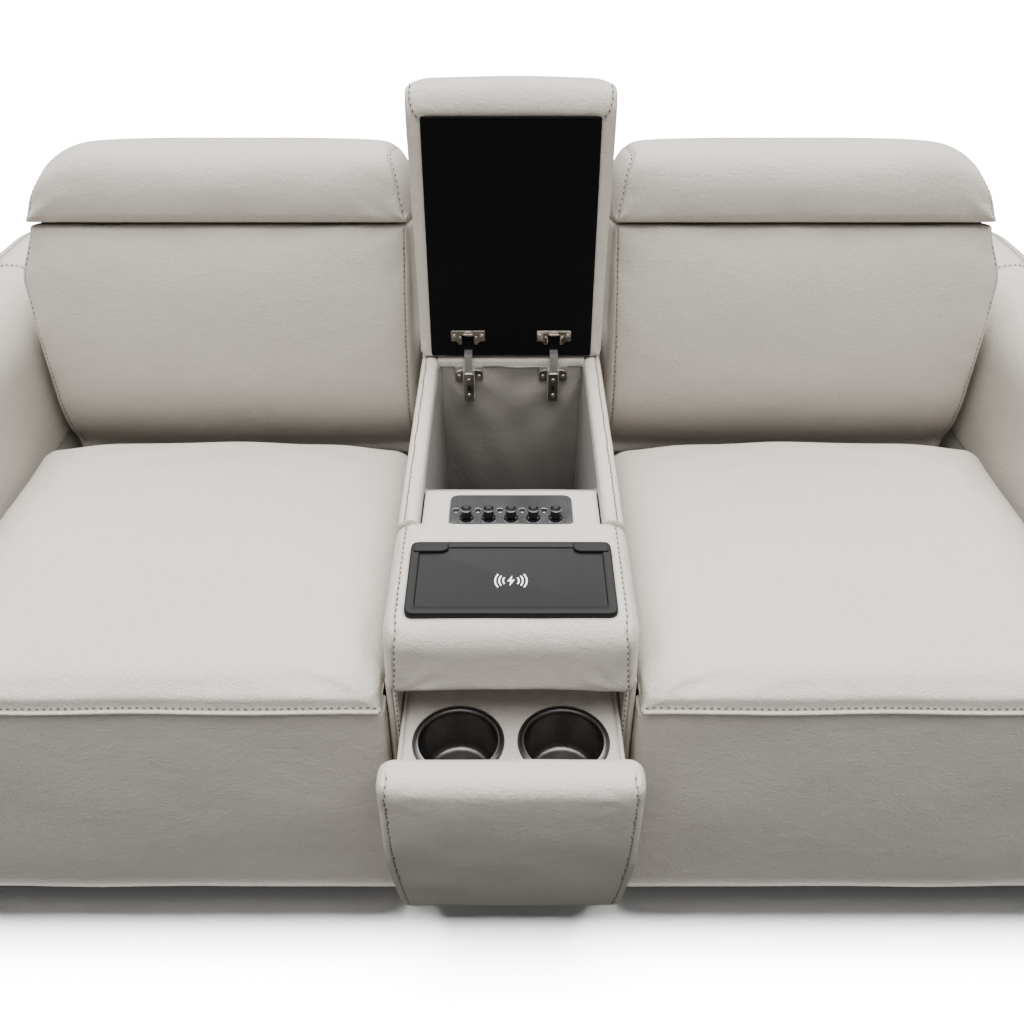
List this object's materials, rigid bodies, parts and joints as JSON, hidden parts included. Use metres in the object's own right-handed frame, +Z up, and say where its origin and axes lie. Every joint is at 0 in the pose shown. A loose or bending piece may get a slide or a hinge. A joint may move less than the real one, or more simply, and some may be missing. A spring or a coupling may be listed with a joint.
{
  "type": "reclining sofa",
  "caption": "Two-seat leather reclining sofa with a centre console: lift-up lid over a storage bin, push buttons, charging pad and a pull-out cup-holder drawer.",
  "frame": {"origin": "centre of the floor plan, at floor level, under the middle of the bounding box", "axes": "+X to the right as seen from the front, +Y from the seat fronts to the back, +Z up"},
  "size_m": [1.876, 1.093, 0.9709],
  "materials": {
    "leather": "pebbled light greige upholstery leather with a soft sheen and taupe stitching",
    "lining_leather": "smooth greige lining leather",
    "felt": "matt black felt lining",
    "painted_steel": "satin black painted steel",
    "nickel": "satin nickel plate",
    "bright_steel": "zinc-bright steel",
    "gunmetal": "gunmetal rim with brushed steel inside",
    "control_plate": "polished smoked plate",
    "button_black": "gloss black with a bright rim",
    "charger_plastic": "charcoal moulded plastic with fine streaks",
    "black_plastic": "matt black moulded plastic",
    "plywood": "birch plywood"
  },
  "bodies": {
    "base": {"arm_body_left": "leather", "arm_pad_left": "leather", "foot_front_left": "black_plastic", "foot_rear_left": "black_plastic", "seat_frame_left": "painted_steel", "seat_cushion_left": "leather", "footrest_actuator_left": "black_plastic", "recline_motor_left": "black_plastic", "console_side_left": "leather", "hinge_arm_left": "nickel", "drawer_runner_left": "bright_steel", "arm_body_right": "leather", "arm_pad_right": "leather", "foot_front_right": "black_plastic", "foot_rear_right": "black_plastic", "seat_frame_right": "painted_steel", "seat_cushion_right": "leather", "footrest_actuator_right": "black_plastic", "recline_motor_right": "black_plastic", "console_side_right": "leather", "hinge_arm_right": "nickel", "drawer_runner_right": "bright_steel", "console_rear": "leather", "console_nose": "leather", "storage_bin": "lining_leather", "control_block": "lining_leather", "control_plate": "control_plate", "charging_pad": "charger_plastic"},
    "footrest_upper_left": {"footrest_upper_link_left": "painted_steel"},
    "footrest_lower_left": {"footrest_lower_link_left": "painted_steel"},
    "footrest_left": {"footrest_board_left": "plywood", "footrest_pad_left": "leather"},
    "actuator_rod_left": {"footrest_rod_left": "bright_steel"},
    "back_left": {"back_frame_left": "painted_steel", "back_cushion_left": "leather", "back_cover_left": "leather"},
    "head_left": {"headrest_left": "leather"},
    "footrest_upper_right": {"footrest_upper_link_right": "painted_steel"},
    "footrest_lower_right": {"footrest_lower_link_right": "painted_steel"},
    "footrest_right": {"footrest_board_right": "plywood", "footrest_pad_right": "leather"},
    "actuator_rod_right": {"footrest_rod_right": "bright_steel"},
    "back_right": {"back_frame_right": "painted_steel", "back_cushion_right": "leather", "back_cover_right": "leather"},
    "head_right": {"headrest_right": "leather"},
    "lid": {"lid_board": "felt", "lid_pad": "leather", "hinge_cup_left": "nickel", "hinge_cup_right": "nickel"},
    "drawer": {"drawer_front": "leather", "drawer_box": "plywood", "drawer_tray": "leather", "cup_left": "gunmetal", "cup_right": "gunmetal"},
    "button_1": {"control_button_1": "button_black"},
    "button_2": {"control_button_2": "button_black"},
    "button_3": {"control_button_3": "button_black"},
    "button_4": {"control_button_4": "button_black"},
    "button_5": {"control_button_5": "button_black"}
  },
  "joints": [
    {"name": "footrest_left_lift", "type": "hinge", "parent": "base", "child": "footrest_upper_left", "pos_m": [-0.449, -0.1775, 0.325], "axis": [-1, 0, 0], "range_deg": [0, 57]},
    {"name": "footrest_left_knee", "type": "hinge", "parent": "footrest_upper_left", "child": "footrest_lower_left", "pos_m": [-0.449, -0.2675, 0.09176], "axis": [-1, 0, 0], "range_deg": [-114, 0]},
    {"name": "footrest_left_board", "type": "hinge", "parent": "footrest_lower_left", "child": "footrest_left", "pos_m": [-0.449, -0.3575, 0.325], "axis": [-1, 0, 0], "range_deg": [0, 147]},
    {"name": "footrest_left_actuator", "type": "slide", "parent": "base", "child": "actuator_rod_left", "axis": [0, -1, 0], "range_m": [0, 0.0504]},
    {"name": "back_left_recline", "type": "hinge", "parent": "base", "child": "back_left", "pos_m": [-0.449, 0.1665, 0.34], "axis": [-1, 0, 0], "range_deg": [0, 30]},
    {"name": "headrest_left_tilt", "type": "hinge", "parent": "back_left", "child": "head_left", "pos_m": [-0.449, 0.22323, 0.76541], "axis": [1, 0, 0], "range_deg": [0, 35]},
    {"name": "footrest_right_lift", "type": "hinge", "parent": "base", "child": "footrest_upper_right", "pos_m": [0.449, -0.1775, 0.325], "axis": [-1, 0, 0], "range_deg": [0, 57]},
    {"name": "footrest_right_knee", "type": "hinge", "parent": "footrest_upper_right", "child": "footrest_lower_right", "pos_m": [0.449, -0.2675, 0.09176], "axis": [-1, 0, 0], "range_deg": [-114, 0]},
    {"name": "footrest_right_board", "type": "hinge", "parent": "footrest_lower_right", "child": "footrest_right", "pos_m": [0.449, -0.3575, 0.325], "axis": [-1, 0, 0], "range_deg": [0, 147]},
    {"name": "footrest_right_actuator", "type": "slide", "parent": "base", "child": "actuator_rod_right", "axis": [0, -1, 0], "range_m": [0, 0.0504]},
    {"name": "back_right_recline", "type": "hinge", "parent": "base", "child": "back_right", "pos_m": [0.449, 0.1665, 0.34], "axis": [-1, 0, 0], "range_deg": [0, 30]},
    {"name": "headrest_right_tilt", "type": "hinge", "parent": "back_right", "child": "head_right", "pos_m": [0.449, 0.22323, 0.76541], "axis": [1, 0, 0], "range_deg": [0, 35]},
    {"name": "lid_hinge", "type": "hinge", "parent": "base", "child": "lid", "pos_m": [0, 0.1655, 0.5848], "axis": [1, 0, 0], "range_deg": [0, 93.5]},
    {"name": "drawer_slide", "type": "slide", "parent": "base", "child": "drawer", "axis": [0, -1, 0], "range_m": [-0.09, 0.08]},
    {"name": "button_1_press", "type": "slide", "parent": "base", "child": "button_1", "axis": [0, 0, -1], "range_m": [0, 0.003], "stiffness_N_per_m": 600, "springref_m": -0.001},
    {"name": "button_2_press", "type": "slide", "parent": "base", "child": "button_2", "axis": [0, 0, -1], "range_m": [0, 0.003], "stiffness_N_per_m": 600, "springref_m": -0.001},
    {"name": "button_3_press", "type": "slide", "parent": "base", "child": "button_3", "axis": [0, 0, -1], "range_m": [0, 0.003], "stiffness_N_per_m": 600, "springref_m": -0.001},
    {"name": "button_4_press", "type": "slide", "parent": "base", "child": "button_4", "axis": [0, 0, -1], "range_m": [0, 0.003], "stiffness_N_per_m": 600, "springref_m": -0.001},
    {"name": "button_5_press", "type": "slide", "parent": "base", "child": "button_5", "axis": [0, 0, -1], "range_m": [0, 0.003], "stiffness_N_per_m": 600, "springref_m": -0.001}
  ],
  "couplings": [
    {"joint": "footrest_left_knee", "follows": "footrest_left_lift", "ratio": -2},
    {"joint": "footrest_left_board", "follows": "footrest_left_lift", "ratio": 2.5788},
    {"joint": "footrest_left_actuator", "follows": "footrest_left_lift", "m_per_rad": 0.0505},
    {"joint": "footrest_right_knee", "follows": "footrest_right_lift", "ratio": -2},
    {"joint": "footrest_right_board", "follows": "footrest_right_lift", "ratio": 2.5788},
    {"joint": "footrest_right_actuator", "follows": "footrest_right_lift", "m_per_rad": 0.0505}
  ]
}
